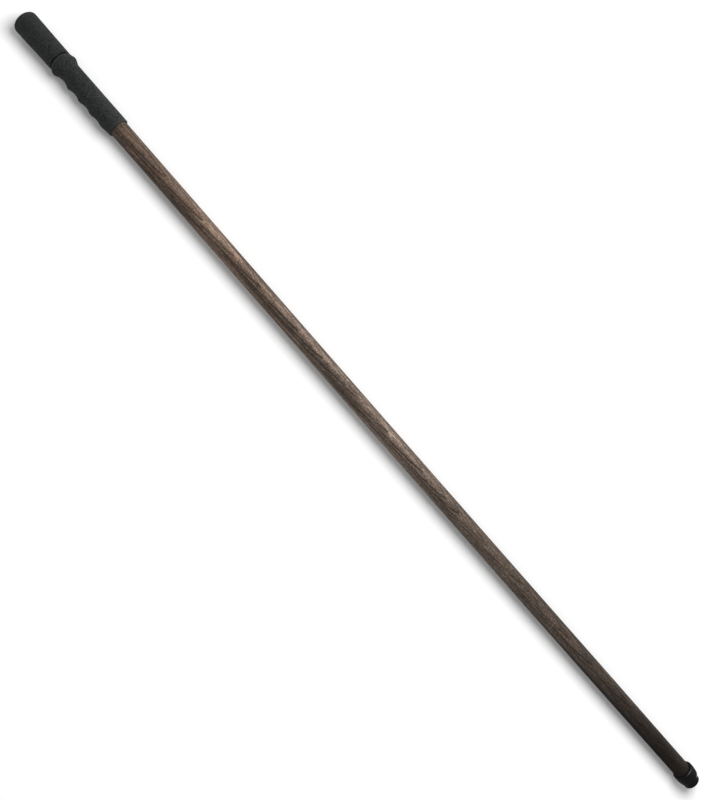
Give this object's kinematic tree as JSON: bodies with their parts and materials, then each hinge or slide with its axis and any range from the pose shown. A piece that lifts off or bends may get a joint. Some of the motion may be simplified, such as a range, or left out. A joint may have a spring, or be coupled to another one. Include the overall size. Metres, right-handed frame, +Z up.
{
  "type": "hiking staff",
  "caption": "Long round hardwood staff with a foam finger grip, a foam head that unscrews and a rubber foot, for support on a walk.",
  "frame": {"origin": "on the ground, under the middle of the staff's length, with the staff lying down", "axes": "+X along the staff from its head to its foot, +Z up from the ground that it lies on, finger grooves towards -Y"},
  "size_m": [1.397, 0.0358, 0.0358],
  "materials": {
    "stained_wood": "satin",
    "bare_wood": "matte",
    "foam": "matte",
    "black_rubber": "satin",
    "steel": "satin",
    "brass": "satin"
  },
  "bodies": {
    "staff": {"shaft": "stained_wood", "grip_sleeve": "foam", "thread_insert": "brass"},
    "washer": {"joint_washer": "black_rubber"},
    "head": {"head_core": "bare_wood", "head_sleeve": "foam", "head_stud": "steel"},
    "foot": {"rubber_tip": "black_rubber", "tip_washer": "steel"}
  },
  "joints": [
    {"name": "head_rise", "type": "slide", "parent": "staff", "child": "washer", "axis": [-1, 0, 0], "range_m": [0, 0.01975]},
    {"name": "head_turn", "type": "hinge", "parent": "washer", "child": "head", "pos_m": [-0.6278, 0, 0.0179], "axis": [-1, 0, 0], "range_deg": [0, 5040]},
    {"name": "tip_off", "type": "slide", "parent": "staff", "child": "foot", "axis": [1, 0, 0], "range_m": [0, 0.03]}
  ],
  "couplings": [
    {"joint": "head_turn", "follows": "head_rise", "rad_per_m": 4453}
  ]
}
